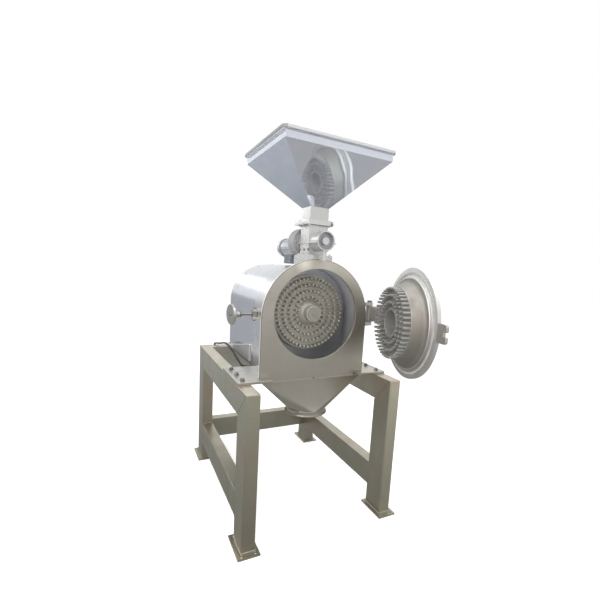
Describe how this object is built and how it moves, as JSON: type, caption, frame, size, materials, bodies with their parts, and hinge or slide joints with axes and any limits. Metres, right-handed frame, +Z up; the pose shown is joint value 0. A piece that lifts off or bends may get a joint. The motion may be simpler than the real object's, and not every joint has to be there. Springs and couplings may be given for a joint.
{
  "type": "pin mill",
  "caption": "Floor-standing pin mill on a welded tube stand: hinged door with pins meshing a pinned rotor, square hopper with slide gate and star valve, round bottom outlet.",
  "frame": {"origin": "on the floor, midway between the four feet", "axes": "+Z up, -Y to the front where the door opens, +X to the hinge side"},
  "size_m": [0.8365, 1.4471, 1.7418],
  "materials": {
    "stand_steel": "satin stainless tube, long grain",
    "fastener_steel": "dull machined steel",
    "plate_steel": "brushed stainless plate",
    "polished_steel": "polished stainless sheet",
    "hopper_steel": "mirror polished stainless sheet",
    "door_steel": "turned stainless",
    "machined_steel": "bright machined steel",
    "cast_grey": "grey cast surface",
    "motor_paint": "grey blue machine paint",
    "seal_rubber": "pale silicone",
    "cable_black": "black sheath",
    "black_plastic": "black moulded plastic"
  },
  "bodies": {
    "stand": {"front_left_leg": "stand_steel", "front_right_leg": "stand_steel", "rear_left_leg": "stand_steel", "rear_right_leg": "stand_steel", "left_top_rail": "stand_steel", "right_top_rail": "stand_steel", "rear_top_rail": "stand_steel", "left_lower_rail": "stand_steel", "right_lower_rail": "stand_steel", "rear_lower_rail": "stand_steel", "foot_plates": "stand_steel", "mount_bolts": "fastener_steel", "left_mount_plate": "plate_steel", "right_mount_plate": "plate_steel", "chamber_shell": "polished_steel", "front_plate": "plate_steel", "chamber_back_plate": "plate_steel", "discharge_cone": "polished_steel", "outlet_collar": "polished_steel", "bearing_housing": "cast_grey", "shaft_bearings": "machined_steel", "main_motor": "motor_paint", "motor_cradle": "plate_steel", "motor_base": "plate_steel", "rear_cover": "polished_steel", "rear_end_cap": "polished_steel", "hinge_bracket": "plate_steel", "hinge_pin": "fastener_steel", "clamp_bracket": "plate_steel", "clamp_pivot_pin": "fastener_steel", "feeder_saddle": "plate_steel", "feeder_housing": "machined_steel", "feeder_end_cap": "machined_steel", "feeder_strut": "plate_steel", "gear_reducer": "cast_grey", "feeder_motor": "motor_paint", "feeder_cradle": "plate_steel", "gate_frame": "plate_steel", "hopper": "hopper_steel", "junction_box": "black_plastic", "cable_glands": "black_plastic", "power_cable": "cable_black"},
    "rotor": {"rotor_disc": "machined_steel", "rotor_pins": "machined_steel", "rotor_nose": "fastener_steel", "main_shaft": "machined_steel", "shaft_coupling": "machined_steel", "motor_shaft": "machined_steel"},
    "door": {"door_plate": "door_steel", "door_seal": "seal_rubber", "stator_drum": "door_steel", "stator_pins": "machined_steel", "fork_lug": "plate_steel", "hinge_arm": "plate_steel"},
    "clamp_bolt": {"swing_bolt": "machined_steel"},
    "clamp_washer": {"thrust_washer": "machined_steel"},
    "clamp_wheel": {"handwheel": "machined_steel"},
    "valve_rotor": {"feeder_rotor": "machined_steel"},
    "gate": {"slide_gate": "plate_steel", "gate_knob": "machined_steel"}
  },
  "joints": [
    {"name": "rotor_spin", "type": "hinge", "parent": "stand", "child": "rotor", "pos_m": [0, -0.224, 0.997], "axis": [0, 1, 0], "continuous": true},
    {"name": "door_swing", "type": "hinge", "parent": "stand", "child": "door", "pos_m": [0.33, -0.2665, 0.997], "axis": [0, 0, 1], "range_deg": [-76.6, 43.4]},
    {"name": "clamp_swing", "type": "hinge", "parent": "stand", "child": "clamp_bolt", "pos_m": [-0.295, -0.296, 0.997], "axis": [0, 0, 1], "range_deg": [0, 81.7]},
    {"name": "washer_slide", "type": "slide", "parent": "clamp_bolt", "child": "clamp_washer", "axis": [0.9895, 0.1444, 0], "range_m": [0, 0.022]},
    {"name": "wheel_turn", "type": "hinge", "parent": "clamp_washer", "child": "clamp_wheel", "pos_m": [-0.39395, -0.31044, 0.997], "axis": [0.9895, 0.1444, 0], "range_deg": [0, 3960]},
    {"name": "valve_spin", "type": "hinge", "parent": "stand", "child": "valve_rotor", "pos_m": [0, -0.238, 1.3355], "axis": [0, 1, 0], "continuous": true},
    {"name": "gate_slide", "type": "slide", "parent": "stand", "child": "gate", "axis": [1, 0, 0], "range_m": [0, 0.09]}
  ],
  "couplings": [
    {"joint": "washer_slide", "follows": "wheel_turn", "m_per_rad": 0.00031831}
  ]
}
